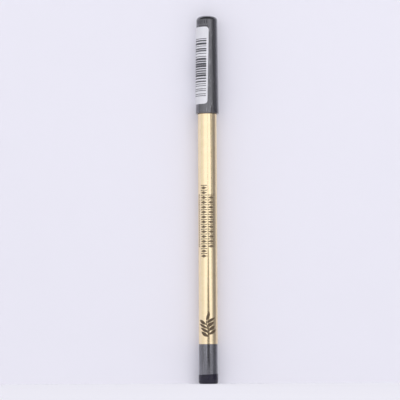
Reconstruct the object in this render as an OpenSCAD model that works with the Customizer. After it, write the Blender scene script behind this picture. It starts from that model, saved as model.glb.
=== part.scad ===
// Capped cosmetic pencil, in millimetres. It stands on its closed end, +Z runs up the axis to the cap,
// and the side that faces -Y is the front. The origin is the middle of the closed end.

/* [Pencil] */
// From the closed end to the tip of the sharpened lead
pencil_length = 144; // [120:1:170]
// Outside diameter of the barrel, over the foil
barrel_d = 7.6; // [7.2:0.1:8.4]
// Thickness of the foil and of the shade band, which lie flush
foil_wall = 0.1; // [0.05:0.01:0.15]
// Diameter of the cosmetic lead
lead_d = 3.3; // [2.6:0.1:4]
// Angle between the sharpened cone and the axis
point_angle = 10; // [9:0.5:13]
// Radius of the blunt lead tip
lead_tip_r = 0.4; // [0.2:0.05:0.8]
// Film of glue between pieces that are stuck together
glue_gap = 0.02; // [0.01:0.005:0.03]

/* [Closed end] */
// Height of the shade band's upper edge above the closed end
shade_band_top = 15.8; // [10:0.1:25]
// Height of the dipped coat on the axis
dip_height = 3.8; // [2.5:0.1:6]
// Thickness of the dipped coat on the side
dip_wall = 0.08; // [0.06:0.01:0.2]
// Thickness of the dipped coat under the end
dip_floor = 0.3; // [0.2:0.05:0.6]
// Radius of the coat's lower edge
dip_round = 0.8; // [0.5:0.05:1.2]
// Tilt of the coat's edge, from the dip, higher on the right
dip_tilt = 2.7; // [0:0.1:5]

/* [Cap] */
// Length of barrel that the cap covers
grip_depth = 16.2; // [11:0.1:22]
// Free space between the lead tip and the cap's inner end
tip_clearance = 2.9; // [1:0.1:3.5]
// Thickness of the cap's closed end
cap_end_wall = 1.1; // [0.8:0.05:1.6]
// Wall of the cap at its mouth
cap_mouth_wall = 0.7; // [0.55:0.05:1]
// Wall of the cap at its closed end
cap_side_wall = 0.75; // [0.5:0.05:1]
// Angle between the cap's side and the axis
cap_taper = 0.6; // [0.3:0.1:0.9]
// Radius of the low dome on the closed end
cap_crown_r = 10.5; // [8:0.5:30]
// Radius of the edge between the dome and the side
cap_edge_round = 1.6; // [0.8:0.1:2.4]
// Chamfer on the mouth, outside
lip_chamfer = 0.12; // [0.05:0.01:0.2]
// Lead-in chamfer on the mouth, inside
mouth_lead_in = 0.25; // [0.1:0.05:0.4]

/* [Grip inside the cap] */
// Number of ribs that hold the barrel
rib_count = 6; // [3:1:8]
// Width of a rib
rib_w = 0.6; // [0.4:0.1:1]
// Height of a rib above the bore
rib_h = 0.12; // [0.08:0.01:0.2]
// Running clearance between the ribs' crests and the barrel
rib_gap = 0.04; // [0.02:0.01:0.08]
// Distance from the mouth to the start of the ribs
rib_start = 1.5; // [0.5:0.1:3]
// How far the inner stop reaches in past the barrel's side
stop_step = 0.1; // [0.05:0.01:0.2]
// Space along the axis between the stop and the sharpened cone
stop_gap = 0.3; // [0.2:0.05:0.6]

/* [Barcode label] */
// Width of the paper, round the cap
label_w = 13; // [9:0.5:15]
// Length of the paper, along the cap
label_l = 31.2; // [24:0.1:32]
// Thickness of the paper
label_t = 0.09; // [0.06:0.01:0.15]
// Radius of the label's corners
label_corner_r = 1.3; // [0.5:0.1:2]
// Distance from the cap's top to the label's upper edge
label_from_top = 5; // [3.5:0.1:6]
// Turn of the label's middle from the front, to the left
label_turn = 78.5; // [0:0.5:120]
// Lean of the label's top towards the front, because it was stuck on slightly askew
label_lean = 0.4; // [0:0.05:2]

/* [Hidden] */
$fn = 96;
cut_margin = 1;

// Barrel, from the axis outwards
barrel_r = barrel_d / 2;
foil_inner_r = barrel_r - foil_wall;
casing_r = foil_inner_r - glue_gap;
lead_r = lead_d / 2;
groove_r = lead_r + glue_gap;

// Sharpened point: one cone runs through the foil, the casing and the lead, and ends in a blunt tip
tip_edge_r = lead_tip_r * cos(point_angle);
tip_centre_z = pencil_length - lead_tip_r;
tip_edge_z = tip_centre_z + lead_tip_r * sin(point_angle);
shoulder_z = tip_edge_z - (barrel_r - tip_edge_r) / tan(point_angle);

// Closed end: the rounded casing sits in the dipped coat, and the shade band starts above the rounding
casing_end_z = dip_floor + glue_gap;
casing_round = dip_round - dip_wall;
band_bottom_z = casing_end_z + casing_round;
dip_inner_r = barrel_r + glue_gap;
dip_r = dip_inner_r + dip_wall;

// Cap, from the bore outwards and from the mouth upwards
rib_crest_r = barrel_r + rib_gap;
bore_r = rib_crest_r + rib_h;
throat_r = barrel_r - stop_step;
mouth_r = bore_r + cap_mouth_wall;
mouth_z = shoulder_z - grip_depth;
stop_z = cone_z(throat_r) + stop_gap;
hollow_end_z = pencil_length + tip_clearance;
cap_top_z = hollow_end_z + cap_end_wall;
hollow_end_r = cap_r(hollow_end_z) - cap_side_wall;
hollow_corner = (cap_side_wall + cap_end_wall) / 3;

// Closed end of the cap: the edge arc touches the tapered side at side_touch and the dome at dome_touch
taper_k = tan(cap_taper);
dome_centre_z = cap_top_z - cap_crown_r;
dome_reach = cap_crown_r - cap_edge_round;
edge_run = cap_r(dome_centre_z) - cap_edge_round / cos(cap_taper);
edge_root = sqrt(pow(dome_reach, 2) * (1 + pow(taper_k, 2)) - pow(edge_run, 2));
edge_rise = (edge_run * taper_k + edge_root) / (1 + pow(taper_k, 2));
edge_centre = [edge_run - edge_rise * taper_k, dome_centre_z + edge_rise];
side_touch = edge_centre + cap_edge_round * [cos(cap_taper), sin(cap_taper)];
dome_touch = [0, dome_centre_z] + cap_crown_r / dome_reach * [edge_centre[0], edge_rise];

// Label: a straight strip of paper on a taper covers a smaller angle where the cap is wider
label_top_z = cap_top_z - label_from_top;
label_mid_z = label_top_z - label_l / 2;
label_bottom_z = label_top_z - label_l;
label_half_turn = wrap_angle(label_w / 2, label_mid_z);
label_edge_lean = atan(label_w / 2 * taper_k / cap_r(label_mid_z));
label_blank_turn = wrap_angle(label_w / 2 + cut_margin, label_top_z);

// Height on the sharpened cone where its radius is r
function cone_z(r) = shoulder_z + (barrel_r - r) / tan(point_angle);

// Outside radius of the cap's tapered side at height z
function cap_r(z) = mouth_r - (z - mouth_z) * tan(cap_taper);

// Angle that a width of paper covers on the cap at height z
function wrap_angle(width, z) = width / cap_r(z) * 180 / PI;

// Quarter disc that rounds the lower outer corner of a profile
module corner_round(r, z, round) {
  translate([r - round, z + round])
    intersection() {
      circle(round);
      translate([0, -round])
        square(round);
    }
}

// Half section of the casing, open at the lead groove, rounded below and sharpened above
module casing_profile() {
  inner_edge_r = casing_r - casing_round;
  polygon([
    [groove_r, casing_end_z],
    [inner_edge_r, casing_end_z],
    [inner_edge_r, band_bottom_z],
    [casing_r, band_bottom_z],
    [casing_r, cone_z(casing_r)],
    [groove_r, cone_z(groove_r)]
  ]);
  corner_round(casing_r, casing_end_z, casing_round);
}

// The two halves meet in the plane of the groove
module casing_half(turn) {
  color([0.82, 0.66, 0.46])
    rotate([0, 0, turn])
      rotate_extrude(angle = 180)
        casing_profile();
}

module casing_front() {
  casing_half(180);
}

module casing_back() {
  casing_half(0);
}

module pigment_core() {
  color([0.2, 0.2, 0.23])
    rotate_extrude() {
      polygon([
        [0, casing_end_z],
        [lead_r, casing_end_z],
        [lead_r, cone_z(lead_r)],
        [tip_edge_r, tip_edge_z],
        [0, tip_edge_z]
      ]);
      intersection() {
        translate([0, tip_centre_z])
          circle(lead_tip_r);
        translate([0, tip_edge_z])
          square(lead_tip_r);
      }
    }
}

// The sharpener trims the foil's upper end to the same cone as the wood
module gold_foil_sleeve() {
  color([0.95, 0.86, 0.64])
    rotate_extrude()
      polygon([
        [foil_inner_r, shade_band_top],
        [barrel_r, shade_band_top],
        [barrel_r, shoulder_z],
        [foil_inner_r, cone_z(foil_inner_r)]
      ]);
}

module shade_band() {
  color([0.45, 0.45, 0.48])
    rotate_extrude()
      polygon([
        [foil_inner_r, band_bottom_z],
        [barrel_r, band_bottom_z],
        [barrel_r, shade_band_top],
        [foil_inner_r, shade_band_top]
      ]);
}

// Outside of the dipped coat, drawn higher than its edge
module dip_outside() {
  inner_edge_r = dip_r - dip_round;
  polygon([
    [0, 0],
    [inner_edge_r, 0],
    [inner_edge_r, dip_round],
    [dip_r, dip_round],
    [dip_r, dip_height + cut_margin],
    [0, dip_height + cut_margin]
  ]);
  corner_round(dip_r, 0, dip_round);
}

// What the coat covers: the rounded casing, and the shade band above it
module dip_hollow() {
  coated_r = casing_r + glue_gap;
  coated_round = casing_round + glue_gap;
  inner_edge_r = coated_r - coated_round;
  step_z = band_bottom_z - glue_gap;
  polygon([
    [0, dip_floor],
    [inner_edge_r, dip_floor],
    [inner_edge_r, step_z],
    [dip_inner_r, step_z],
    [dip_inner_r, dip_height + 2 * cut_margin],
    [0, dip_height + 2 * cut_margin]
  ]);
  corner_round(coated_r, dip_floor, coated_round);
}

module dipped_end() {
  color([0.15, 0.14, 0.18])
    difference() {
      rotate_extrude()
        dip_outside();
      rotate_extrude()
        dip_hollow();
      translate([0, 0, dip_height])
        rotate([0, -dip_tilt, 0])
          translate([-2 * dip_r, -2 * dip_r, 0])
            cube([4 * dip_r, 4 * dip_r, 4 * cut_margin]);
    }
}

// Outside of the cap: chamfered lip, tapered side, rounded edge and low dome
module cap_outside() {
  polygon([
    [0, mouth_z],
    [mouth_r - lip_chamfer, mouth_z],
    [cap_r(mouth_z + lip_chamfer), mouth_z + lip_chamfer],
    side_touch,
    edge_centre,
    dome_touch,
    [0, dome_touch[1]]
  ]);
  translate(edge_centre)
    circle(cap_edge_round);
  intersection() {
    translate([0, dome_centre_z])
      circle(cap_crown_r);
    translate([0, dome_touch[1]])
      square([dome_touch[0], cap_crown_r]);
  }
}

// Inside of the cap: lead-in, bore, stop and the tapered hollow round the sharpened point
module cap_hollow() {
  polygon([
    [0, mouth_z - cut_margin],
    [bore_r + mouth_lead_in, mouth_z - cut_margin],
    [bore_r + mouth_lead_in, mouth_z],
    [bore_r, mouth_z + mouth_lead_in],
    [bore_r, stop_z],
    [throat_r, stop_z],
    [hollow_end_r, hollow_end_z - hollow_corner],
    [hollow_end_r - hollow_corner, hollow_end_z],
    [0, hollow_end_z]
  ]);
}

// The ribs stand on the bore, run up to the stop and have crests that follow the barrel
module grip_ribs() {
  rib_l = stop_z - mouth_z - rib_start;
  root_r = bore_r + cap_mouth_wall / 3;
  translate([0, 0, mouth_z + rib_start])
    intersection() {
      difference() {
        cylinder(r = root_r, h = rib_l + cap_mouth_wall / 3);
        translate([0, 0, -cut_margin])
          cylinder(r = rib_crest_r, h = rib_l + cap_mouth_wall + 2 * cut_margin);
      }
      for (i = [0 : rib_count - 1])
        rotate([0, 0, 360 / rib_count * (i + 0.5)])
          translate([0, -rib_w / 2, 0])
            cube([root_r + cut_margin, rib_w, rib_l + cap_mouth_wall / 3]);
    }
}

module cap() {
  color([0.42, 0.42, 0.44])
    union() {
      difference() {
        rotate_extrude()
          cap_outside();
        rotate_extrude()
          cap_hollow();
      }
      grip_ribs();
    }
}

// What the punch takes away beside one long edge of the label, with the two round corners left in
module label_edge_waste() {
  half_l = label_l / 2;
  difference() {
    translate([-label_corner_r, -half_l - cut_margin])
      square([label_corner_r + 3 * cut_margin, label_l + 2 * cut_margin]);
    translate([-2 * label_corner_r, -half_l])
      square([label_corner_r, label_l]);
    translate([-2 * label_corner_r, label_corner_r - half_l])
      square([2 * label_corner_r, label_l - 2 * label_corner_r]);
    for (end = [-1, 1])
      translate([-label_corner_r, end * (half_l - label_corner_r)])
        circle(label_corner_r);
  }
}

// side is 1 for the edge nearer the front and -1 for the one round the back
module label_edge_cut(side) {
  rotate([0, 0, side * label_half_turn])
    translate([cap_r(label_mid_z) - cut_margin, 0, label_mid_z])
      rotate([-side * label_edge_lean - label_lean, 0, 0])
        mirror([0, side == 1 ? 0 : 1, 0])
          rotate([90, 0, 90])
            linear_extrude(2 * cut_margin)
              label_edge_waste();
}

module barcode_label() {
  under_top_r = cap_r(label_top_z) + glue_gap;
  under_bottom_r = cap_r(label_bottom_z) + glue_gap;
  color([0.93, 0.93, 0.94])
    rotate([0, 0, -90 - label_turn])
      difference() {
        rotate([0, 0, -label_blank_turn])
          rotate_extrude(angle = 2 * label_blank_turn)
            polygon([
              [under_bottom_r, label_bottom_z],
              [under_bottom_r + label_t, label_bottom_z],
              [under_top_r + label_t, label_top_z],
              [under_top_r, label_top_z]
            ]);
        label_edge_cut(1);
        label_edge_cut(-1);
      }
}

casing_front();
casing_back();
pigment_core();
gold_foil_sleeve();
shade_band();
dipped_end();
cap();
barcode_label();
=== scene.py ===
"""An eyeliner pencil that stands on its closed end in front of a sheet of pale paper.

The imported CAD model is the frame. The script dresses it, and adds the print, the sticker's bars, the table
and the light.
"""

import math

import bpy
from mathutils import Matrix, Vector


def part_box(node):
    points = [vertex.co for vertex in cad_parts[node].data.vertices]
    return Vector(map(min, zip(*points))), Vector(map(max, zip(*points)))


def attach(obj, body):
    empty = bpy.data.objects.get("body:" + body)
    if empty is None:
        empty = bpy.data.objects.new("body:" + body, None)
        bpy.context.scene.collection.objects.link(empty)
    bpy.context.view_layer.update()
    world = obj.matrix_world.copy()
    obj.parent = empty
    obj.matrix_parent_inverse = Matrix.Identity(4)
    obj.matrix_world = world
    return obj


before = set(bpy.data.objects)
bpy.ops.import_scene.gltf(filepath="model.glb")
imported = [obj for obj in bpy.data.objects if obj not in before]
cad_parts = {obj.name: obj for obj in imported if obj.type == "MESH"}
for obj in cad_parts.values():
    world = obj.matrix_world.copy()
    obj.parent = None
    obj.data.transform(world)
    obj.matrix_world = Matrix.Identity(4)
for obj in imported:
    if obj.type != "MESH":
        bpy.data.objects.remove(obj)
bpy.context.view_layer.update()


# Casing: two half rounds of cedar, glued together round the lead in the plane of its groove.
# They are turned and sanded, then covered with foil, and a sharpener cuts one cone through both.
MM = 0.001


def add_node(tree, kind, inputs=None, **settings):
    """Adds a node, sets its properties, and fills or links the inputs that are given by name or number."""
    node = tree.nodes.new(kind)
    for name, value in settings.items():
        setattr(node, name, value)
    for name, value in (inputs or {}).items():
        if isinstance(value, bpy.types.NodeSocket):
            tree.links.new(value, node.inputs[name])
        else:
            node.inputs[name].default_value = value
    return node


def start_finish(name, **constants):
    """A Principled material and its Object coordinates. Constants are set on the shader's own sockets."""
    material = bpy.data.materials.new(name)
    material.use_nodes = True
    tree = material.node_tree
    shader = tree.nodes["Principled BSDF"]
    for socket, value in constants.items():
        shader.inputs[socket.replace("_", " ")].default_value = value
    place = add_node(tree, "ShaderNodeTexCoord").outputs["Object"]
    return material, tree, shader, place


def stretched(tree, place, across, along):
    """Coordinates for a pattern drawn out along the pencil: across and along are repeats in a metre."""
    return add_node(
        tree, "ShaderNodeMapping", {"Vector": place, "Scale": (across, across, along)}
    ).outputs["Vector"]


def ramp(tree, value, *stops):
    """A colour ramp with the given (position, colour) stops."""
    node = add_node(tree, "ShaderNodeValToRGB", {"Fac": value})
    elements = node.color_ramp.elements
    while len(elements) < len(stops):
        elements.new(0.5)
    for element, (position, colour) in zip(elements, stops):
        element.position = position
        element.color = (*colour, 1)
    return node.outputs["Color"]


def spread(tree, value, low, high):
    """Turns a value of 0 to 1 into one of low to high."""
    return add_node(
        tree, "ShaderNodeMapRange", {"Value": value, "To Min": low, "To Max": high}
    ).outputs["Result"]


def dress(node, material):
    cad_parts[node].material_slots[0].material = material


wood, tree, shader, place = start_finish("cedar", Roughness=0.7)
growth = add_node(
    tree,
    "ShaderNodeTexNoise",
    {"Vector": stretched(tree, place, 900, 45), "Scale": 1.0, "Detail": 5.0, "Distortion": 0.35},
)
fibres = add_node(
    tree,
    "ShaderNodeTexNoise",
    {"Vector": stretched(tree, place, 7000, 350), "Scale": 1.0, "Detail": 3.0},
)
grain = ramp(
    tree,
    growth.outputs["Fac"],
    (0.3, (0.36, 0.19, 0.09)),
    (0.5, (0.58, 0.36, 0.19)),
    (0.7, (0.68, 0.46, 0.26)),
)
fibre_shade = ramp(tree, fibres.outputs["Fac"], (0.25, (0.72, 0.68, 0.62)), (0.65, (1, 1, 1)))
wood_colour = add_node(
    tree,
    "ShaderNodeMix",
    {"Factor": 1.0, 6: grain, 7: fibre_shade},
    data_type="RGBA",
    blend_type="MULTIPLY",
)
tree.links.new(wood_colour.outputs[2], shader.inputs["Base Color"])
blade_marks = add_node(
    tree,
    "ShaderNodeTexNoise",
    {"Vector": stretched(tree, place, 250, 5200), "Scale": 1.0, "Detail": 2.0},
)
wood_relief = add_node(
    tree,
    "ShaderNodeMath",
    {0: blade_marks.outputs["Fac"], 1: fibres.outputs["Fac"]},
    operation="ADD",
)
wood_bump = add_node(
    tree,
    "ShaderNodeBump",
    {"Strength": 0.7, "Distance": 0.02 * MM, "Height": wood_relief.outputs[0]},
)
tree.links.new(wood_bump.outputs["Normal"], shader.inputs["Normal"])
dress("casing_front", wood)
dress("casing_back", wood)


# Lead: a soft stick of wax and black pigment with a fine pearl in it.
# It is glued in the groove, and the sharpener leaves it smooth, with faint turning marks.
def make_flake_group():
    """Fine flakes: Sparkle is 0 to 1 and changes from flake to flake, Tilt is a small height."""
    group = bpy.data.node_groups.new("fine_flakes", "ShaderNodeTree")
    group.interface.new_socket("Place", in_out="INPUT", socket_type="NodeSocketVector")
    size = group.interface.new_socket("Flakes in a metre", in_out="INPUT", socket_type="NodeSocketFloat")
    size.default_value = 9000
    group.interface.new_socket("Sparkle", in_out="OUTPUT", socket_type="NodeSocketFloat")
    group.interface.new_socket("Tilt", in_out="OUTPUT", socket_type="NodeSocketFloat")
    given = add_node(group, "NodeGroupInput")
    given_out = add_node(group, "NodeGroupOutput")
    cells = add_node(
        group,
        "ShaderNodeTexVoronoi",
        {"Vector": given.outputs["Place"], "Scale": given.outputs["Flakes in a metre"]},
    )
    parts = add_node(group, "ShaderNodeSeparateColor", {"Color": cells.outputs["Color"]})
    group.links.new(parts.outputs[0], given_out.inputs["Sparkle"])
    group.links.new(parts.outputs[1], given_out.inputs["Tilt"])
    return group


flake_group = make_flake_group()


def add_flakes(tree, place, flakes_in_a_metre):
    node = add_node(tree, "ShaderNodeGroup", node_tree=flake_group)
    tree.links.new(place, node.inputs["Place"])
    node.inputs["Flakes in a metre"].default_value = flakes_in_a_metre
    return node.outputs["Sparkle"], node.outputs["Tilt"]


lead, tree, shader, place = start_finish("black_lead", Metallic=0.0)
sparkle, _ = add_flakes(tree, place, 12000)
lead_colour = ramp(
    tree,
    sparkle,
    (0.0, (0.018, 0.018, 0.021)),
    (0.9, (0.03, 0.03, 0.036)),
    (0.97, (0.22, 0.22, 0.26)),
)
tree.links.new(lead_colour, shader.inputs["Base Color"])
turning = add_node(
    tree,
    "ShaderNodeTexNoise",
    {"Vector": stretched(tree, place, 300, 6500), "Scale": 1.0, "Detail": 2.0},
)
tree.links.new(spread(tree, turning.outputs["Fac"], 0.32, 0.58), shader.inputs["Roughness"])
lead_bump = add_node(
    tree,
    "ShaderNodeBump",
    {"Strength": 0.6, "Distance": 0.012 * MM, "Height": turning.outputs["Fac"]},
)
tree.links.new(lead_bump.outputs["Normal"], shader.inputs["Normal"])
dress("pigment_core", lead)


# Foil sleeve: mirror-gold foil, hot-pressed round the casing from the shade band to the sharpened cone.
# It follows the sanded wood, so its reflections waver a little. Handling leaves faint haze and hairlines.
# A thin brown ring just below the cap's lip is painted shadow, where the lip shades the foil.
def make_wear_group():
    """Handling wear: Haze is broad and soft, Hairlines are thin scratches. Both are 0 to 1."""
    strongest, soft_edge = 0.86, 0.05
    group = bpy.data.node_groups.new("handling_wear", "ShaderNodeTree")
    group.interface.new_socket("Place", in_out="INPUT", socket_type="NodeSocketVector")
    amount = group.interface.new_socket("Hairline share", in_out="INPUT", socket_type="NodeSocketFloat")
    amount.default_value = 0.1
    group.interface.new_socket("Haze", in_out="OUTPUT", socket_type="NodeSocketFloat")
    group.interface.new_socket("Hairlines", in_out="OUTPUT", socket_type="NodeSocketFloat")
    given = add_node(group, "NodeGroupInput")
    given_out = add_node(group, "NodeGroupOutput")
    haze = add_node(
        group,
        "ShaderNodeTexNoise",
        {"Vector": given.outputs["Place"], "Scale": 260.0, "Detail": 4.0, "Roughness": 0.6},
    )
    group.links.new(haze.outputs["Fac"], given_out.inputs["Haze"])
    lines = []
    for turn, scale in (((0.0, 0.35, 0.0), (5200, 5200, 260)), ((0.5, 0.0, 0.4), (4300, 4300, 330))):
        turned = add_node(
            group,
            "ShaderNodeMapping",
            {"Vector": given.outputs["Place"], "Rotation": turn, "Scale": scale},
        )
        lines.append(
            add_node(
                group,
                "ShaderNodeTexNoise",
                {"Vector": turned.outputs["Vector"], "Scale": 1.0, "Detail": 1.0},
            ).outputs["Fac"]
        )
    stronger = add_node(group, "ShaderNodeMath", {0: lines[0], 1: lines[1]}, operation="MAXIMUM")
    threshold = add_node(
        group,
        "ShaderNodeMath",
        {0: strongest, 1: given.outputs["Hairline share"]},
        operation="SUBTRACT",
    )
    upper = add_node(group, "ShaderNodeMath", {0: threshold.outputs[0], 1: soft_edge}, operation="ADD")
    cut = add_node(
        group,
        "ShaderNodeMapRange",
        {"Value": stronger.outputs[0], "From Min": threshold.outputs[0], "From Max": upper.outputs[0]},
    )
    group.links.new(cut.outputs["Result"], given_out.inputs["Hairlines"])
    return group


wear_group = make_wear_group()


def add_wear(tree, place, hairline_share):
    node = add_node(tree, "ShaderNodeGroup", node_tree=wear_group)
    tree.links.new(place, node.inputs["Place"])
    node.inputs["Hairline share"].default_value = hairline_share
    return node.outputs["Haze"], node.outputs["Hairlines"]


foil, tree, shader, place = start_finish("gold_foil", Metallic=1.0)
haze, hairlines = add_wear(tree, place, 0.1)
foil_colour = ramp(
    tree,
    haze,
    (0.25, (0.95, 0.78, 0.49)),
    (0.55, (1.0, 0.825, 0.535)),
    (0.8, (0.97, 0.81, 0.55)),
)
height = add_node(tree, "ShaderNodeSeparateXYZ", {0: place}).outputs["Z"]
# Painted shadow: a thin brown ring on the foil just below the cap's lip, where the lip shades it.
ring_drop, half_ring = 0.1 * MM, 0.15 * MM
lip_shadow = add_node(
    tree,
    "ShaderNodeMath",
    {0: height, 1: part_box("cap")[0].z - ring_drop, 2: half_ring},
    operation="COMPARE",
)
foil_colour_with_lip_shadow = add_node(
    tree,
    "ShaderNodeMix",
    {"Factor": spread(tree, lip_shadow.outputs[0], 0.0, 0.8), 6: foil_colour, 7: (0.22, 0.14, 0.08, 1)},
    data_type="RGBA",
)
tree.links.new(foil_colour_with_lip_shadow.outputs[2], shader.inputs["Base Color"])
hair_rough = add_node(
    tree,
    "ShaderNodeMath",
    {0: spread(tree, hairlines, 0.0, 0.12), 1: spread(tree, haze, 0.08, 0.17)},
    operation="ADD",
)
tree.links.new(hair_rough.outputs[0], shader.inputs["Roughness"])
ripple = add_node(
    tree,
    "ShaderNodeTexNoise",
    {"Vector": stretched(tree, place, 700, 500), "Scale": 1.0, "Detail": 3.0, "Roughness": 0.6},
)
foil_bump = add_node(
    tree,
    "ShaderNodeBump",
    {"Strength": 1.0, "Distance": 0.02 * MM, "Height": ripple.outputs["Fac"]},
)
tree.links.new(foil_bump.outputs["Normal"], shader.inputs["Normal"])
dress("gold_foil_sleeve", foil)


# Shade band: a grey metallic lacquer below the foil, flush with it, that shows the colour of the lead.
# It is sprayed as the barrel spins, so it has fine flakes and faint streaks along its length.
band, tree, shader, place = start_finish(
    "grey_metallic_lacquer", Metallic=0.93, Coat_Weight=1.0, Coat_Roughness=0.04
)
sparkle, tilt = add_flakes(tree, place, 11000)
streaks = add_node(
    tree,
    "ShaderNodeTexNoise",
    {"Vector": stretched(tree, place, 5200, 110), "Scale": 1.0, "Detail": 3.0},
)
streak_shade = ramp(
    tree,
    streaks.outputs["Fac"],
    (0.3, (0.1, 0.1, 0.108)),
    (0.5, (0.155, 0.155, 0.168)),
    (0.7, (0.24, 0.24, 0.26)),
)
sparkle_shade = ramp(tree, sparkle, (0.0, (0.75, 0.75, 0.75)), (0.8, (1, 1, 1)), (0.97, (1.9, 1.9, 1.95)))
band_colour = add_node(
    tree,
    "ShaderNodeMix",
    {"Factor": 1.0, 6: streak_shade, 7: sparkle_shade},
    data_type="RGBA",
    blend_type="MULTIPLY",
)
tree.links.new(band_colour.outputs[2], shader.inputs["Base Color"])
haze, _ = add_wear(tree, place, 0.1)
tree.links.new(spread(tree, haze, 0.06, 0.13), shader.inputs["Roughness"])
band_bump = add_node(
    tree,
    "ShaderNodeBump",
    {"Strength": 0.5, "Distance": 0.004 * MM, "Height": tilt},
)
tree.links.new(band_bump.outputs["Normal"], shader.inputs["Normal"])
dress("shade_band", band)


# Dipped end: the closed end is dipped in purple-black lacquer to seal the wood and the lead.
# The lacquer dries glossy, a little thicker than the band, with its edge slightly tilted from the dip.
dip, tree, shader, place = start_finish("purple_black_lacquer", Metallic=0.0, IOR=1.5)
haze, _ = add_wear(tree, place, 0.14)
dip_colour = ramp(
    tree,
    haze,
    (0.3, (0.005, 0.003, 0.015)),
    (0.7, (0.009, 0.006, 0.021)),
)
tree.links.new(dip_colour, shader.inputs["Base Color"])
tree.links.new(spread(tree, haze, 0.04, 0.1), shader.inputs["Roughness"])
runs = add_node(
    tree,
    "ShaderNodeTexNoise",
    {"Vector": stretched(tree, place, 420, 300), "Scale": 1.0, "Detail": 2.0},
)
dip_bump = add_node(
    tree,
    "ShaderNodeBump",
    {"Strength": 0.8, "Distance": 0.03 * MM, "Height": runs.outputs["Fac"]},
)
tree.links.new(dip_bump.outputs["Normal"], shader.inputs["Normal"])
dress("dipped_end", dip)


# Cap: moulded in one piece and coated in gunmetal, with grip ribs inside that hold the barrel.
# The coat has fine flakes, faint streaks along its length, and hairline scratches from handling.
cap_coat, tree, shader, place = start_finish(
    "gunmetal_coat", Metallic=1.0, Coat_Weight=1.0, Coat_Roughness=0.05
)
streaks = add_node(
    tree,
    "ShaderNodeTexNoise",
    {"Vector": stretched(tree, place, 4200, 60), "Scale": 1.0, "Detail": 3.0},
)
streak_shade = ramp(
    tree,
    streaks.outputs["Fac"],
    (0.3, (0.088, 0.087, 0.093)),
    (0.5, (0.13, 0.129, 0.137)),
    (0.7, (0.195, 0.193, 0.205)),
)
haze, hairlines = add_wear(tree, place, 0.17)
cap_colour = add_node(
    tree,
    "ShaderNodeMix",
    {"Factor": hairlines, 6: streak_shade, 7: (0.36, 0.36, 0.38, 1)},
    data_type="RGBA",
)
tree.links.new(cap_colour.outputs[2], shader.inputs["Base Color"])
tree.links.new(spread(tree, haze, 0.08, 0.18), shader.inputs["Roughness"])
_, tilt = add_flakes(tree, place, 9000)
cap_relief = add_node(
    tree,
    "ShaderNodeMath",
    {0: hairlines, 1: -2.0, 2: tilt},
    operation="MULTIPLY_ADD",
)
cap_bump = add_node(
    tree,
    "ShaderNodeBump",
    {"Strength": 0.5, "Distance": 0.004 * MM, "Height": cap_relief.outputs[0]},
)
tree.links.new(cap_bump.outputs["Normal"], shader.inputs["Normal"])
dress("cap", cap_coat)


# Label: a glossy white paper sticker that is wrapped round the left side of the cap and pressed down.
# Its adhesive holds it, and it follows the taper with faint ripples in the paper.
paper, tree, shader, place = start_finish(
    "glossy_label_paper", Metallic=0.0, Coat_Weight=0.35, Coat_Roughness=0.15
)
haze, _ = add_wear(tree, place, 0.1)
paper_colour = ramp(tree, haze, (0.3, (0.75, 0.75, 0.77)), (0.7, (0.81, 0.81, 0.83)))
tree.links.new(paper_colour, shader.inputs["Base Color"])
tree.links.new(spread(tree, haze, 0.35, 0.5), shader.inputs["Roughness"])
creases = add_node(
    tree,
    "ShaderNodeTexNoise",
    {"Vector": stretched(tree, place, 350, 200), "Scale": 1.0, "Detail": 4.0},
)
paper_bump = add_node(
    tree,
    "ShaderNodeBump",
    {"Strength": 0.6, "Distance": 0.03 * MM, "Height": creases.outputs["Fac"]},
)
tree.links.new(paper_bump.outputs["Normal"], shader.inputs["Normal"])
dress("barcode_label", paper)


# Bars: a column of plain bars in three widths, printed in grey ink on the label's paper.
# They are square to the label's long edges, and so they lean with it.
def start_rule(name, *sizes):
    """A Geometry Nodes tree with an input for each (name, kind, value). Gives the inputs and the end."""
    tree = bpy.data.node_groups.new(name, "GeometryNodeTree")
    tree.interface.new_socket("Geometry", in_out="OUTPUT", socket_type="NodeSocketGeometry")
    for label, kind, value in sizes:
        socket = tree.interface.new_socket(label, in_out="INPUT", socket_type="NodeSocket" + kind)
        if value is not None:
            socket.default_value = value
    given = add_node(tree, "NodeGroupInput")
    return tree, given.outputs, add_node(tree, "NodeGroupOutput").inputs["Geometry"]


def work(tree, operation, *values):
    return add_node(tree, "ShaderNodeMath", dict(enumerate(values)), operation=operation).outputs[0]


def split_position(tree):
    """A node that gives the X, Y and Z of each point."""
    here = add_node(tree, "GeometryNodeInputPosition").outputs[0]
    return add_node(tree, "ShaderNodeSeparateXYZ", {0: here})


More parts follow.
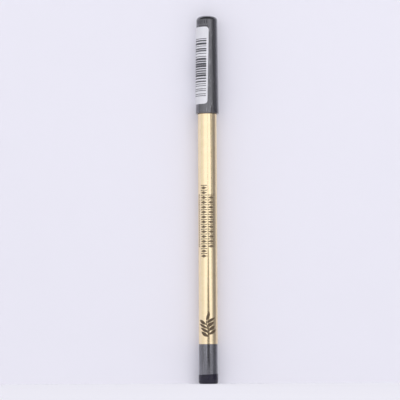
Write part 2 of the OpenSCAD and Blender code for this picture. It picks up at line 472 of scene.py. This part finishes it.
def make_wrap_rule():
    """Wraps flat work round the pencil: X goes round, Z is the height, -Y stands out from the surface."""
    sharp_edge = 0.6
    tree = bpy.data.node_groups.new("wrap_round", "GeometryNodeTree")
    tree.interface.new_socket("Geometry", in_out="OUTPUT", socket_type="NodeSocketGeometry")
    tree.interface.new_socket("Geometry", in_out="INPUT", socket_type="NodeSocketGeometry")
    for label in ("Radius at foot", "Foot height", "Taper slope", "Bearing", "Lean slope"):
        tree.interface.new_socket(label, in_out="INPUT", socket_type="NodeSocketFloat")
    given = add_node(tree, "NodeGroupInput").outputs
    flat = split_position(tree)
    height = work(tree, "MULTIPLY_ADD", flat.outputs["X"], given["Lean slope"], flat.outputs["Z"])
    above = work(tree, "SUBTRACT", height, given["Foot height"])
    fallen = work(tree, "MULTIPLY", above, given["Taper slope"])
    surface = work(tree, "SUBTRACT", given["Radius at foot"], fallen)
    radius = work(tree, "SUBTRACT", surface, flat.outputs["Y"])
    angle = work(tree, "ADD", given["Bearing"], work(tree, "DIVIDE", flat.outputs["X"], surface))
    across = work(tree, "MULTIPLY", radius, work(tree, "SINE", angle))
    depth = work(tree, "MULTIPLY", work(tree, "MULTIPLY", radius, work(tree, "COSINE", angle)), -1.0)
    place = add_node(tree, "ShaderNodeCombineXYZ", {0: across, 1: depth, 2: height})
    moved = add_node(
        tree,
        "GeometryNodeSetPosition",
        {"Geometry": given["Geometry"], "Position": place.outputs[0]},
    )
    smooth = add_node(tree, "GeometryNodeSetShadeSmooth", {0: moved.outputs[0], "Shade Smooth": True})
    edge_angle = add_node(tree, "GeometryNodeInputMeshEdgeAngle").outputs[0]
    steep = add_node(tree, "FunctionNodeCompare", {0: edge_angle, 1: sharp_edge})
    crisp = add_node(
        tree,
        "GeometryNodeSetShadeSmooth",
        {0: smooth.outputs[0], "Selection": steep.outputs[0], "Shade Smooth": False},
        domain="EDGE",
    )
    end = add_node(tree, "NodeGroupOutput")
    tree.links.new(crisp.outputs[0], end.inputs["Geometry"])
    return tree


wrap_rule = make_wrap_rule()


def wrap(tree, geometry, **sizes):
    """Adds the wrapping rule with these sizes, whose names have _ for spaces."""
    node = add_node(tree, "GeometryNodeGroup", node_tree=wrap_rule)
    tree.links.new(geometry, node.inputs["Geometry"])
    for label, value in sizes.items():
        socket = node.inputs[label.replace("_", " ")]
        if isinstance(value, bpy.types.NodeSocket):
            tree.links.new(value, socket)
        else:
            socket.default_value = value
    return node.outputs["Geometry"]


def grow(name, tree, values, body):
    """Runs a tree with these inputs on an empty mesh, and keeps the result as a plain mesh on that body."""
    piece = bpy.data.objects.new(name, bpy.data.meshes.new(name))
    bpy.context.scene.collection.objects.link(piece)
    modifier = piece.modifiers.new("rule", "NODES")
    modifier.node_group = tree
    for item in tree.interface.items_tree:
        if item.in_out == "INPUT" and item.name in values:
            modifier[item.identifier] = values[item.name]
    depsgraph = bpy.context.evaluated_depsgraph_get()
    mesh = bpy.data.meshes.new_from_object(piece.evaluated_get(depsgraph))
    piece.modifiers.clear()
    piece.data = mesh
    mesh.name = name
    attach(piece, body)


def make_bar_rule():
    """Bars of one, two or three width steps, each shaken a little off its even place."""
    most_shake, width_seed_step, points_along = 0.22, 7, 27
    tree, given, end = start_rule(
        "printed_bars",
        ("Bars", "Int", 24),
        ("Lowest bar", "Float", 0.0),
        ("Pitch", "Float", 0.0),
        ("Bar length", "Float", 0.0),
        ("Width step", "Float", 0.0),
        ("Ink", "Float", 0.0),
        ("Paper radius", "Float", 0.0),
        ("Taper slope", "Float", 0.0),
        ("Bearing", "Float", 0.0),
        ("Lean slope", "Float", 0.0),
        ("Seed", "Int", 4),
        ("Material", "Material", None),
    )
    start = add_node(tree, "ShaderNodeCombineXYZ", {2: given["Lowest bar"]}).outputs[0]
    step = add_node(tree, "ShaderNodeCombineXYZ", {2: given["Pitch"]}).outputs[0]
    row = add_node(tree, "GeometryNodeMeshLine", {0: given["Bars"], 2: start, 3: step})
    shake = add_node(
        tree,
        "FunctionNodeRandomValue",
        {2: -most_shake, 3: most_shake, "Seed": given["Seed"]},
        data_type="FLOAT",
    )
    slide = work(tree, "MULTIPLY", shake.outputs[1], given["Pitch"])
    offset = add_node(tree, "ShaderNodeCombineXYZ", {2: slide}).outputs[0]
    placed = add_node(
        tree, "GeometryNodeSetPosition", {"Geometry": row.outputs[0], "Offset": offset}
    )
    steps = add_node(
        tree,
        "FunctionNodeRandomValue",
        {4: 1, 5: 3, "Seed": work(tree, "ADD", given["Seed"], width_seed_step)},
        data_type="INT",
    )
    thick = work(tree, "MULTIPLY", steps.outputs[2], given["Width step"])
    bar = add_node(tree, "GeometryNodeMeshCube", {"Size": (1, 1, 1), 1: points_along, 2: 2, 3: 2})
    size = add_node(tree, "ShaderNodeCombineXYZ", {0: given["Bar length"], 1: given["Ink"], 2: thick})
    bars = add_node(
        tree,
        "GeometryNodeInstanceOnPoints",
        {"Points": placed.outputs[0], "Instance": bar.outputs[0], "Scale": size.outputs[0]},
    )
    solid = add_node(tree, "GeometryNodeRealizeInstances", {0: bars.outputs[0]})
    wrapped = wrap(
        tree,
        solid.outputs[0],
        Radius_at_foot=given["Paper radius"],
        Foot_height=given["Lowest bar"],
        Taper_slope=given["Taper slope"],
        Bearing=given["Bearing"],
        Lean_slope=given["Lean slope"],
    )
    inked = add_node(tree, "GeometryNodeSetMaterial", {"Geometry": wrapped, "Material": given["Material"]})
    tree.links.new(inked.outputs[0], end)
    return tree


bar_ink, tree, shader, place = start_finish("grey_bar_ink", Roughness=0.45)
wear = add_node(tree, "ShaderNodeTexNoise", {"Vector": place, "Scale": 2600.0, "Detail": 2.0})
bar_colour = ramp(tree, wear.outputs["Fac"], (0.3, (0.045, 0.045, 0.052)), (0.7, (0.09, 0.09, 0.1)))
tree.links.new(bar_colour, shader.inputs["Base Color"])

cap_low, cap_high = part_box("cap")
bare_foot = 3.2 * MM
lowest_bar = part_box("barcode_label")[0].z + bare_foot
cap_taper = math.radians(0.6)
taper_slope = math.tan(cap_taper)
label_lean = math.radians(0.4)
label_face = 0.11 * MM
grow(
    "label_bars",
    make_bar_rule(),
    {
        "Bars": 24,
        "Lowest bar": lowest_bar,
        "Pitch": 1.01 * MM,
        "Bar length": 11.3 * MM,
        "Width step": 0.27 * MM,
        "Ink": 0.02 * MM,
        "Paper radius": cap_high.x - (lowest_bar - cap_low.z) * taper_slope + label_face,
        "Taper slope": taper_slope,
        "Bearing": math.radians(-75.3),
        "Lean slope": -math.tan(label_lean),
        "Material": bar_ink,
    },
    "cap",
)


# Ticks: a row of plain upright ticks stamped on the cap's coat in dark ink, above the label.
# Under them, a thin dark line in the same ink runs just above the label's top edge.
def make_tick_rule():
    """Ticks that share one height, centred over a line that runs half a pitch past them at each end."""
    line_share, line_points = 0.6, 15
    tree, given, end = start_rule(
        "stamped_ticks",
        ("Ticks", "Int", 6),
        ("Pitch", "Float", 0.0),
        ("Tick width", "Float", 0.0),
        ("Tick height", "Float", 0.0),
        ("Middle height", "Float", 0.0),
        ("Line height", "Float", 0.0),
        ("Ink", "Float", 0.0),
        ("Coat radius", "Float", 0.0),
        ("Taper slope", "Float", 0.0),
        ("Bearing", "Float", 0.0),
        ("Material", "Material", None),
    )
    reach = work(tree, "MULTIPLY", work(tree, "SUBTRACT", given["Ticks"], 1.0), given["Pitch"])
    left_end = work(tree, "MULTIPLY", reach, -0.5)
    start = add_node(tree, "ShaderNodeCombineXYZ", {0: left_end, 2: given["Middle height"]}).outputs[0]
    step = add_node(tree, "ShaderNodeCombineXYZ", {0: given["Pitch"]}).outputs[0]
    row = add_node(tree, "GeometryNodeMeshLine", {0: given["Ticks"], 2: start, 3: step})
    tick = add_node(tree, "GeometryNodeMeshCube", {"Size": (1, 1, 1), 1: 2, 2: 2, 3: 3})
    size = add_node(
        tree, "ShaderNodeCombineXYZ", {0: given["Tick width"], 1: given["Ink"], 2: given["Tick height"]}
    )
    ticks = add_node(
        tree,
        "GeometryNodeInstanceOnPoints",
        {"Points": row.outputs[0], "Instance": tick.outputs[0], "Scale": size.outputs[0]},
    )
    line = add_node(tree, "GeometryNodeMeshCube", {"Size": (1, 1, 1), 1: line_points, 2: 2, 3: 2})
    line_length = work(tree, "ADD", reach, given["Pitch"])
    line_width = work(tree, "MULTIPLY", given["Tick width"], line_share)
    line_size = add_node(
        tree, "ShaderNodeCombineXYZ", {0: line_length, 1: given["Ink"], 2: line_width}
    )
    line_place = add_node(tree, "ShaderNodeCombineXYZ", {2: given["Line height"]})
    placed = add_node(
        tree,
        "GeometryNodeTransform",
        {"Geometry": line.outputs[0], "Translation": line_place.outputs[0], "Scale": line_size.outputs[0]},
    )
    both = add_node(tree, "GeometryNodeJoinGeometry")
    tree.links.new(ticks.outputs[0], both.inputs[0])
    tree.links.new(placed.outputs[0], both.inputs[0])
    solid = add_node(tree, "GeometryNodeRealizeInstances", {0: both.outputs[0]})
    wrapped = wrap(
        tree,
        solid.outputs[0],
        Radius_at_foot=given["Coat radius"],
        Foot_height=given["Line height"],
        Taper_slope=given["Taper slope"],
        Bearing=given["Bearing"],
    )
    inked = add_node(tree, "GeometryNodeSetMaterial", {"Geometry": wrapped, "Material": given["Material"]})
    tree.links.new(inked.outputs[0], end)
    return tree


tick_ink, tree, shader, place = start_finish("dark_stamp_ink", Roughness=0.5)
patchy = add_node(tree, "ShaderNodeTexNoise", {"Vector": place, "Scale": 3200.0, "Detail": 2.0})
tick_colour = ramp(tree, patchy.outputs["Fac"], (0.35, (0.02, 0.02, 0.025)), (0.65, (0.06, 0.06, 0.07)))
tree.links.new(tick_colour, shader.inputs["Base Color"])

line_gap, middle_drop, stamp_lift = 0.45 * MM, 2.9 * MM, 0.006 * MM
line_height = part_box("barcode_label")[1].z + line_gap
grow(
    "cap_ticks",
    make_tick_rule(),
    {
        "Ticks": 6,
        "Pitch": 0.95 * MM,
        "Tick width": 0.36 * MM,
        "Tick height": 1.5 * MM,
        "Middle height": cap_high.z - middle_drop,
        "Line height": line_height,
        "Ink": 0.02 * MM,
        "Coat radius": cap_high.x - (line_height - cap_low.z) * taper_slope + stamp_lift,
        "Taper slope": taper_slope,
        "Bearing": math.radians(-33),
        "Material": tick_ink,
    },
    "cap",
)


# Print on the barrel: a warm stamp presses brown ink on the foil, and the print follows the barrel's curve.
# It is two upright borders of lozenges and dashes, a fine one beside them, and a sprig of leaves below.
def make_border_rule():
    """An upright row of lozenges, with a dash half a pitch above each."""
    turned_side = 0.7071
    tree, given, end = start_rule(
        "printed_border",
        ("Marks", "Int", 15),
        ("Lowest mark", "Float", 0.0),
        ("Pitch", "Float", 0.0),
        ("Mark width", "Float", 0.0),
        ("Mark height", "Float", 0.0),
        ("Dash height", "Float", 0.0),
        ("Ink", "Float", 0.0),
        ("Barrel radius", "Float", 0.0),
        ("Bearing", "Float", 0.0),
        ("Material", "Material", None),
    )
    start = add_node(tree, "ShaderNodeCombineXYZ", {2: given["Lowest mark"]}).outputs[0]
    step = add_node(tree, "ShaderNodeCombineXYZ", {2: given["Pitch"]}).outputs[0]
    row = add_node(tree, "GeometryNodeMeshLine", {0: given["Marks"], 2: start, 3: step})
    square = add_node(
        tree, "GeometryNodeMeshCube", {"Size": (turned_side, 1, turned_side), 1: 5, 2: 2, 3: 5}
    )
    lozenge = add_node(
        tree, "GeometryNodeTransform", {"Geometry": square.outputs[0], "Rotation": (0, math.radians(45), 0)}
    )
    dash = add_node(tree, "GeometryNodeMeshCube", {"Size": (1, 1, 1), 1: 7, 2: 2, 3: 2})
    marks = add_node(
        tree,
        "GeometryNodeInstanceOnPoints",
        {
            "Points": row.outputs[0],
            "Instance": lozenge.outputs[0],
            "Scale": add_node(
                tree,
                "ShaderNodeCombineXYZ",
                {0: given["Mark width"], 1: given["Ink"], 2: given["Mark height"]},
            ).outputs[0],
        },
    )
    between = add_node(
        tree,
        "GeometryNodeSetPosition",
        {
            "Geometry": row.outputs[0],
            "Offset": add_node(
                tree, "ShaderNodeCombineXYZ", {2: work(tree, "MULTIPLY", given["Pitch"], 0.5)}
            ).outputs[0],
        },
    )
    dashes = add_node(
        tree,
        "GeometryNodeInstanceOnPoints",
        {
            "Points": between.outputs[0],
            "Instance": dash.outputs[0],
            "Scale": add_node(
                tree,
                "ShaderNodeCombineXYZ",
                {0: given["Mark width"], 1: given["Ink"], 2: given["Dash height"]},
            ).outputs[0],
        },
    )
    both = add_node(tree, "GeometryNodeJoinGeometry")
    tree.links.new(marks.outputs[0], both.inputs[0])
    tree.links.new(dashes.outputs[0], both.inputs[0])
    solid = add_node(tree, "GeometryNodeRealizeInstances", {0: both.outputs[0]})
    wrapped = wrap(tree, solid.outputs[0], Radius_at_foot=given["Barrel radius"], Bearing=given["Bearing"])
    inked = add_node(tree, "GeometryNodeSetMaterial", {"Geometry": wrapped, "Material": given["Material"]})
    tree.links.new(inked.outputs[0], end)
    return tree


brown_ink, tree, shader, place = start_finish("brown_print", Roughness=0.4)
thinness = add_node(tree, "ShaderNodeTexNoise", {"Vector": place, "Scale": 3500.0, "Detail": 3.0})
ink_colour = ramp(
    tree,
    thinness.outputs["Fac"],
    (0.35, (0.075, 0.05, 0.024)),
    (0.65, (0.15, 0.1, 0.05)),
)
tree.links.new(ink_colour, shader.inputs["Base Color"])

border_rule = make_border_rule()
barrel_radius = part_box("gold_foil_sleeve")[1].x
print_ink = 0.016 * MM
dash_share = 0.16
for name, marks, lowest, pitch, width, height, bearing in (
    ("print_border_right", 11, 54.7, 1.95, 2.8, 1.25, 21),
    ("print_border_left", 15, 50.8, 1.95, 2.8, 1.25, -25),
    ("print_border_fine", 23, 54.7, 0.93, 1.0, 0.5, -63),
):
    grow(
        name,
        border_rule,
        {
            "Marks": marks,
            "Lowest mark": lowest * MM,
            "Pitch": pitch * MM,
            "Mark width": width * MM,
            "Mark height": height * MM,
            "Dash height": dash_share * pitch * MM,
            "Ink": print_ink,
            "Barrel radius": barrel_radius,
            "Bearing": math.radians(bearing),
            "Material": brown_ink,
        },
        "pencil",
    )


def make_sprig_rule():
    """A swaying stem with leaves on alternate sides and one at its tip, each a blank bowed to a lens."""
    bends_in_stem = 5.2
    tree, given, end = start_rule(
        "printed_sprig",
        ("Leaves", "Int", 8),
        ("Foot height", "Float", 0.0),
        ("Stem height", "Float", 0.0),
        ("Stem width", "Float", 0.0),
        ("Leaf length", "Float", 0.0),
        ("Leaf width", "Float", 0.0),
        ("Leaf turn", "Float", 0.0),
        ("Sway", "Float", 0.0),
        ("Ink", "Float", 0.0),
        ("Barrel radius", "Float", 0.0),
        ("Bearing", "Float", 0.0),
        ("Material", "Material", None),
    )
    blank = add_node(tree, "GeometryNodeMeshCube", {"Size": (1, 1, 1), 1: 5, 2: 2, 3: 13})
    flat = split_position(tree)
    twice = work(tree, "MULTIPLY", flat.outputs["Z"], 2.0)
    bow = work(tree, "SUBTRACT", 1.0, work(tree, "MULTIPLY", twice, twice))
    lens = add_node(
        tree,
        "ShaderNodeCombineXYZ",
        {
            0: work(tree, "MULTIPLY", flat.outputs["X"], bow),
            1: flat.outputs["Y"],
            2: work(tree, "ADD", flat.outputs["Z"], 0.5),
        },
    )
    leaf = add_node(
        tree, "GeometryNodeSetPosition", {"Geometry": blank.outputs[0], "Position": lens.outputs[0]}
    )
    closed = add_node(
        tree, "GeometryNodeMergeByDistance", {"Geometry": leaf.outputs[0], "Distance": 0.0001}
    )
    leaf_size = add_node(
        tree, "ShaderNodeCombineXYZ", {0: given["Leaf width"], 1: given["Ink"], 2: given["Leaf length"]}
    )
    spacing = work(tree, "DIVIDE", given["Stem height"], given["Leaves"])
    row = add_node(
        tree,
        "GeometryNodeMeshLine",
        {
            0: work(tree, "ADD", given["Leaves"], 1.0),
            3: add_node(tree, "ShaderNodeCombineXYZ", {2: spacing}).outputs[0],
        },
    )
    index = add_node(tree, "GeometryNodeInputIndex").outputs[0]
    odd = work(tree, "MODULO", index, 2.0)
    hand = work(tree, "MULTIPLY_ADD", odd, 2.0, -1.0)
    last = work(tree, "COMPARE", index, given["Leaves"], 0.1)
    beside = work(tree, "SUBTRACT", 1.0, last)
    lean = work(tree, "MULTIPLY", work(tree, "MULTIPLY", hand, beside), given["Leaf turn"])
    leaves = add_node(
        tree,
        "GeometryNodeInstanceOnPoints",
        {
            "Points": row.outputs[0],
            "Instance": closed.outputs[0],
            "Rotation": add_node(tree, "ShaderNodeCombineXYZ", {1: lean}).outputs[0],
            "Scale": leaf_size.outputs[0],
        },
    )
    stem = add_node(tree, "GeometryNodeMeshCube", {"Size": (1, 1, 1), 1: 3, 2: 2, 3: 25})
    stem_place = add_node(
        tree,
        "GeometryNodeTransform",
        {
            "Geometry": stem.outputs[0],
            "Translation": add_node(
                tree, "ShaderNodeCombineXYZ", {2: work(tree, "MULTIPLY", given["Stem height"], 0.5)}
            ).outputs[0],
            "Scale": add_node(
                tree,
                "ShaderNodeCombineXYZ",
                {0: given["Stem width"], 1: given["Ink"], 2: given["Stem height"]},
            ).outputs[0],
        },
    )
    both = add_node(tree, "GeometryNodeJoinGeometry")
    tree.links.new(leaves.outputs[0], both.inputs[0])
    tree.links.new(stem_place.outputs[0], both.inputs[0])
    solid = add_node(tree, "GeometryNodeRealizeInstances", {0: both.outputs[0]})
    share = work(tree, "DIVIDE", split_position(tree).outputs["Z"], given["Stem height"])
    wave = work(tree, "SINE", work(tree, "MULTIPLY", share, bends_in_stem))
    swing = work(tree, "MULTIPLY", wave, given["Sway"])
    lifted = add_node(
        tree,
        "GeometryNodeSetPosition",
        {
            "Geometry": solid.outputs[0],
            "Offset": add_node(
                tree, "ShaderNodeCombineXYZ", {0: swing, 2: given["Foot height"]}
            ).outputs[0],
        },
    )
    wrapped = wrap(tree, lifted.outputs[0], Radius_at_foot=given["Barrel radius"], Bearing=given["Bearing"])
    inked = add_node(tree, "GeometryNodeSetMaterial", {"Geometry": wrapped, "Material": given["Material"]})
    tree.links.new(inked.outputs[0], end)
    return tree


grow(
    "print_sprig",
    make_sprig_rule(),
    {
        "Leaves": 8,
        "Foot height": 18.7 * MM,
        "Stem height": 6.3 * MM,
        "Stem width": 0.38 * MM,
        "Leaf length": 3.9 * MM,
        "Leaf width": 1.25 * MM,
        "Leaf turn": math.radians(58),
        "Sway": 0.5 * MM,
        "Ink": print_ink,
        "Barrel radius": barrel_radius,
        "Bearing": math.radians(-4),
        "Material": brown_ink,
    },
    "pencil",
)


# Table and backdrop: a level sheet of pale lilac paper, and one like it that stands just behind the pencil.
# Both glow a little where they are looked at, straight or in the metal, and the table is evenly pale far off.
# The backdrop shows only its front, and lets soft light through to the other side of the pencil.
PAPER = (0.825, 0.816, 0.868)
GLOW = 0.05
FAR_LEVEL = 0.97
PALE_FROM, PALE_BY = 0.2, 1.2


def make_sheet(name, corners):
    mesh = bpy.data.meshes.new(name)
    mesh.from_pydata(corners, [], [(0, 1, 2, 3)])
    sheet = bpy.data.objects.new(name, mesh)
    bpy.context.scene.collection.objects.link(sheet)
    return sheet


def paper_finish(name, colour):
    material, tree, shader, place = start_finish(name, Roughness=0.9)
    shader.inputs["Specular IOR Level"].default_value = 0.0
    mottle = add_node(tree, "ShaderNodeTexNoise", {"Vector": place, "Scale": 9.0, "Detail": 2.0})
    tint = ramp(
        tree,
        mottle.outputs["Fac"],
        (0.3, tuple(c * 0.99 for c in colour)),
        (0.7, colour),
    )
    tree.links.new(tint, shader.inputs["Base Color"])
    return material, tree, shader


def looked_at(tree):
    """Is 1 for what the camera sees, straight or by way of metal or glass, and 0 for soft light."""
    path = add_node(tree, "ShaderNodeLightPath").outputs
    mirrored = work(tree, "MAXIMUM", path["Is Glossy Ray"], path["Is Transmission Ray"])
    return work(tree, "MAXIMUM", path["Is Camera Ray"], mirrored)


def add_glow(tree, shader, seen):
    """Adds a glow of the paper's own colour where seen is 1."""
    shine = add_node(
        tree, "ShaderNodeEmission", {"Color": (*PAPER, 1), "Strength": spread(tree, seen, 0.0, GLOW)}
    )
    lit = add_node(tree, "ShaderNodeAddShader", {0: shader.outputs["BSDF"], 1: shine.outputs["Emission"]})
    return lit.outputs["Shader"]


floor = make_sheet("floor", [(-4, -4, 0), (4, -4, 0), (4, 4, 0), (-4, 4, 0)])
floor_paper, tree, shader = paper_finish("table_paper", PAPER)
seen = looked_at(tree)
spot = add_node(tree, "ShaderNodeTexCoord").outputs["Object"]
distance = add_node(tree, "ShaderNodeVectorMath", {0: spot}, operation="LENGTH")
far_off = add_node(
    tree,
    "ShaderNodeMapRange",
    {"Value": distance.outputs["Value"], "From Min": PALE_FROM, "From Max": PALE_BY},
)
plain = add_node(tree, "ShaderNodeEmission", {"Color": (*PAPER, 1), "Strength": FAR_LEVEL})
floor_look = add_node(
    tree,
    "ShaderNodeMixShader",
    {
        0: work(tree, "MULTIPLY", far_off.outputs["Result"], seen),
        1: add_glow(tree, shader, seen),
        2: plain.outputs["Emission"],
    },
)
tree.links.new(floor_look.outputs["Shader"], tree.nodes["Material Output"].inputs["Surface"])
floor.data.materials.append(floor_paper)

wall_y = 4.9 * MM
wall = make_sheet("backdrop", [(-3, wall_y, 0), (3, wall_y, 0), (3, wall_y, 3), (-3, wall_y, 3)])
wall_paper, tree, shader = paper_finish("backdrop_paper", PAPER)
side = add_node(tree, "ShaderNodeNewGeometry")
front = work(tree, "SUBTRACT", 1.0, side.outputs["Backfacing"])
seen = work(tree, "MULTIPLY", front, looked_at(tree))
clear = add_node(tree, "ShaderNodeBsdfTransparent")
wall_look = add_node(
    tree,
    "ShaderNodeMixShader",
    {0: seen, 1: clear.outputs["BSDF"], 2: add_glow(tree, shader, seen)},
)
tree.links.new(wall_look.outputs["Shader"], tree.nodes["Material Output"].inputs["Surface"])
wall.data.materials.append(wall_paper)


# Light: a tent of white cloth round the table, brightest in front, whose roof puts less light in the metal.
# The world is that tent, by its direction from the pencil. Two soft boxes hang in front and overhead.
blue_tint, higher_share, roof_share = 1.05, 0.84, 0.2
world = bpy.data.worlds.new("light_tent")
world.use_nodes = True
bpy.context.scene.world = world
tree = world.node_tree
tree.nodes.clear()
direction = add_node(tree, "ShaderNodeTexCoord").outputs["Generated"]
towards = add_node(tree, "ShaderNodeSeparateXYZ", {0: direction})
ahead = add_node(tree, "ShaderNodeMath", {0: towards.outputs["Y"], 1: -1.0}, operation="MULTIPLY")
bearing = add_node(
    tree, "ShaderNodeMath", {0: towards.outputs["X"], 1: ahead.outputs[0]}, operation="ARCTAN2"
)
turn = add_node(
    tree,
    "ShaderNodeMapRange",
    {"Value": bearing.outputs[0], "From Min": -math.pi, "From Max": math.pi},
)
cloth = ramp(
    tree,
    turn.outputs["Result"],
    *(
        ((degrees + 180) / 360, (level, level, blue_tint * level))
        for degrees, level in (
            (-180, 0.8),
            (-75, 0.82),
            (-55, 0.9),
            (-35, 1.15),
            (35, 1.2),
            (60, 0.8),
            (110, 0.65),
            (180, 0.8),
        )
    ),
)
path = add_node(tree, "ShaderNodeLightPath")


def climb(low, high):
    """Goes from 0 to 1 as the direction's Z climbs from low to high."""
    heights = {"Value": towards.outputs["Z"], "From Min": low, "From Max": high}
    return add_node(tree, "ShaderNodeMapRange", heights).outputs["Result"]


lower_wall = spread(tree, climb(0.12, 0.2), 1.0, higher_share)
upper_wall = spread(tree, climb(0.2, 0.5), 1.0, higher_share)
side_light = work(tree, "MULTIPLY", lower_wall, upper_wall)
mirrored_roof = work(tree, "MULTIPLY", climb(0.25, 0.65), path.outputs["Is Glossy Ray"])
strength = work(tree, "MULTIPLY", side_light, spread(tree, mirrored_roof, 1.0, roof_share))
cloth_light = add_node(tree, "ShaderNodeBackground", {"Color": cloth, "Strength": strength})
add_node(tree, "ShaderNodeOutputWorld", {"Surface": cloth_light.outputs[0]})

for name, width, depth, watts, place in (
    ("front_soft_box", 1.2, 0.8, 6.0, (0.4, -1.1, 1.5)),
    ("overhead_soft_box", 1.0, 1.0, 5.0, (0.0, -0.25, 1.5)),
):
    lamp = bpy.data.lights.new(name, "AREA")
    lamp.shape = "RECTANGLE"
    lamp.size = width
    lamp.size_y = depth
    lamp.energy = watts
    soft_box = bpy.data.objects.new(name, lamp)
    bpy.context.scene.collection.objects.link(soft_box)
    soft_box.location = place
    soft_box.rotation_euler = (-soft_box.location).to_track_quat("-Z", "Y").to_euler()
    soft_box.visible_camera = False
    soft_box.visible_glossy = False


# Flags: dark cards round the pencil that only its foil and lacquer mirror, as dark lines along the barrel.
# A tapered one stands far in front, behind the camera. A wide one of net stands close on the right, thin at
# its front edge, foot and top, and a slim pennant hangs beside it.
def make_flag(name, corners, colour):
    """A flat card that only mirror-like surfaces see. Gives its tree, its shader and its coordinates."""
    mesh = bpy.data.meshes.new(name)
    mesh.from_pydata(corners, [], [tuple(range(len(corners)))])
    flag = bpy.data.objects.new(name, mesh)
    bpy.context.scene.collection.objects.link(flag)
    flag.visible_camera = False
    flag.visible_diffuse = False
    flag.visible_shadow = False
    cloth, tree, shader, place = start_finish(name + "_cloth", Roughness=0.9)
    shader.inputs["Base Color"].default_value = (*colour, 1)
    mesh.materials.append(cloth)
    return tree, shader, add_node(tree, "ShaderNodeSeparateXYZ", {0: place}).outputs


def at_bearing(degrees, distance, height):
    """A point this far from the pencil's axis, on this bearing from the front, with right as positive."""
    angle = math.radians(degrees)
    return (distance * math.sin(angle), -distance * math.cos(angle), height)


front_x, front_y = 0.06, -0.83
warm_card = (0.34, 0.31, 0.26)
half_widths = ((0.0, 0.22), (0.045, 0.23), (0.06, 0.16), (0.09, 0.08), (0.16, 0.012), (0.45, 0.007))
outline = [(front_x - w, front_y, z) for z, w in half_widths]
outline += [(front_x + w, front_y, z) for z, w in reversed(half_widths)]
tree, shader, place = make_flag("front_flag", outline, warm_card)
share = add_node(tree, "ShaderNodeMapRange", {"Value": place["Z"], "From Min": 0.01, "From Max": 0.05})
front_colour = ramp(
    tree,
    share.outputs["Result"],
    (0.0, (0.02, 0.02, 0.02)),
    (0.35, (0.2, 0.18, 0.155)),
    (1.0, warm_card),
)
tree.links.new(front_colour, shader.inputs["Base Color"])

flag_top = 0.175
dense, thinner, open_net = (1, 1, 1), (0.87, 0.87, 0.87), (0, 0, 0)
near, far = at_bearing(42, 0.052, 0.0), at_bearing(108, 0.0155, 0.0)
right_corners = [near, far, (far[0], far[1], flag_top), (near[0], near[1], flag_top)]
tree, shader, place = make_flag("right_net_flag", right_corners, (0.16, 0.16, 0.19))
share = add_node(
    tree, "ShaderNodeMapRange", {"Value": place["Y"], "From Min": near[1], "From Max": far[1]}
)
density = ramp(
    tree,
    share.outputs["Result"],
    (0.0, open_net),
    (0.3, (0.15, 0.15, 0.15)),
    (0.65, (0.74, 0.74, 0.74)),
    (0.85, (0.76, 0.76, 0.76)),
    (1.0, (0.35, 0.35, 0.35)),
)
thinning = ramp(
    tree,
    work(tree, "DIVIDE", place["Z"], flag_top),
    (0.0, open_net),
    (0.01, thinner),
    (0.09, thinner),
    (0.12, dense),
    (0.62, dense),
    (0.67, thinner),
    (0.86, thinner),
    (1.0, open_net),
)
tree.links.new(work(tree, "MULTIPLY", density, thinning), shader.inputs["Alpha"])

make_flag(
    "right_pennant",
    [at_bearing(44, 0.05, 0.03), at_bearing(48, 0.05, 0.118), at_bearing(38, 0.05, 0.118)],
    (0.22, 0.18, 0.14),
)


# Camera: it looks along +Y at the pencil from 0.79 m, level with the shade band, and tilted up a little.
# Focal length and tilt put the pencil where the photograph has it, its top leaning left by a quarter degree.
camera_place = (-0.00306, -0.79, 0.014)
degrees_up, degrees_left = 4.305, 0.24
camera_data = bpy.data.cameras.new("camera")
camera_data.sensor_width = 36
camera_data.lens = 177.7
camera_data.clip_start = 0.05
camera = bpy.data.objects.new("camera", camera_data)
bpy.context.scene.collection.objects.link(camera)
camera.matrix_world = (
    Matrix.Translation(camera_place)
    @ Matrix.Rotation(math.radians(90 + degrees_up), 4, "X")
    @ Matrix.Rotation(math.radians(-degrees_left), 4, "Z")
)
scene = bpy.context.scene
scene.camera = camera
scene.view_settings.view_transform = "Standard"
